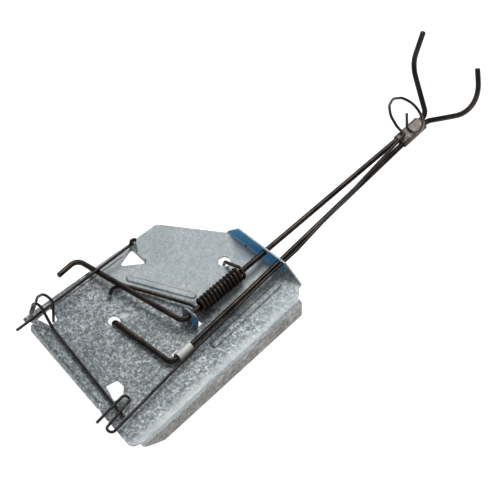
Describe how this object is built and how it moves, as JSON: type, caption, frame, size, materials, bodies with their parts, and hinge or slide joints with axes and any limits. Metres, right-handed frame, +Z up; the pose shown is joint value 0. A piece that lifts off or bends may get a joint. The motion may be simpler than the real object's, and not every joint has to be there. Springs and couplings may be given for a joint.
{
  "type": "snap mouse trap",
  "caption": "Set tunnel trap: folded steel plate, long jaw wires with a pronged fork held by a clip, torsion spring, catch bar, sear lever and ringed trigger wire.",
  "frame": {"origin": "under the middle of the whole set trap, at the height of the feet", "axes": "+X along the jaw rods towards the fork, +Y towards the lever's hooked end, +Z up"},
  "size_m": [0.283, 0.106, 0.0617],
  "materials": {
    "galvanised_sheet": "dull spangled zinc, blue tint on the upturned faces",
    "jaw_wire": "oil-blackened spring steel",
    "spring_wire": "oil-blackened spring steel",
    "thin_wire": "oil-blackened spring steel",
    "clip_sheet": "dull warm grey sheet"
  },
  "bodies": {
    "frame": {"base_plate": "galvanised_sheet", "fixed_jaw": "jaw_wire", "jaw_clip": "clip_sheet", "torsion_spring": "spring_wire"},
    "jaw": {"striking_jaw": "jaw_wire"},
    "bar": {"catch_bar": "thin_wire"},
    "sear": {"sear_lever": "thin_wire"},
    "trigger": {"trigger_wire": "thin_wire"}
  },
  "joints": [
    {"name": "jaw_snap", "type": "hinge", "parent": "frame", "child": "jaw", "pos_m": [-0.00116, -0.01995, 0.019], "axis": [0.9994, -0.0346, 0], "range_deg": [0, 44], "deforming": ["torsion_spring"]},
    {"name": "catch_bar_lift", "type": "hinge", "parent": "frame", "child": "bar", "pos_m": [-0.04516, 0.0352, 0.0214], "axis": [0.0917, 0.9958, 0], "range_deg": [0, 146]},
    {"name": "sear_tip", "type": "hinge", "parent": "frame", "child": "sear", "pos_m": [-0.10716, 0.04795, 0.012], "axis": [-0.993, 0.1181, 0], "range_deg": [0, 49]},
    {"name": "trigger_slide", "type": "slide", "parent": "frame", "child": "trigger", "axis": [-1, 0, 0], "range_m": [0, 0.011]}
  ],
  "couplings": [
    {"joint": "catch_bar_lift", "follows": "jaw_snap", "ratio": 3.3},
    {"joint": "sear_tip", "follows": "jaw_snap", "ratio": 1.1}
  ]
}
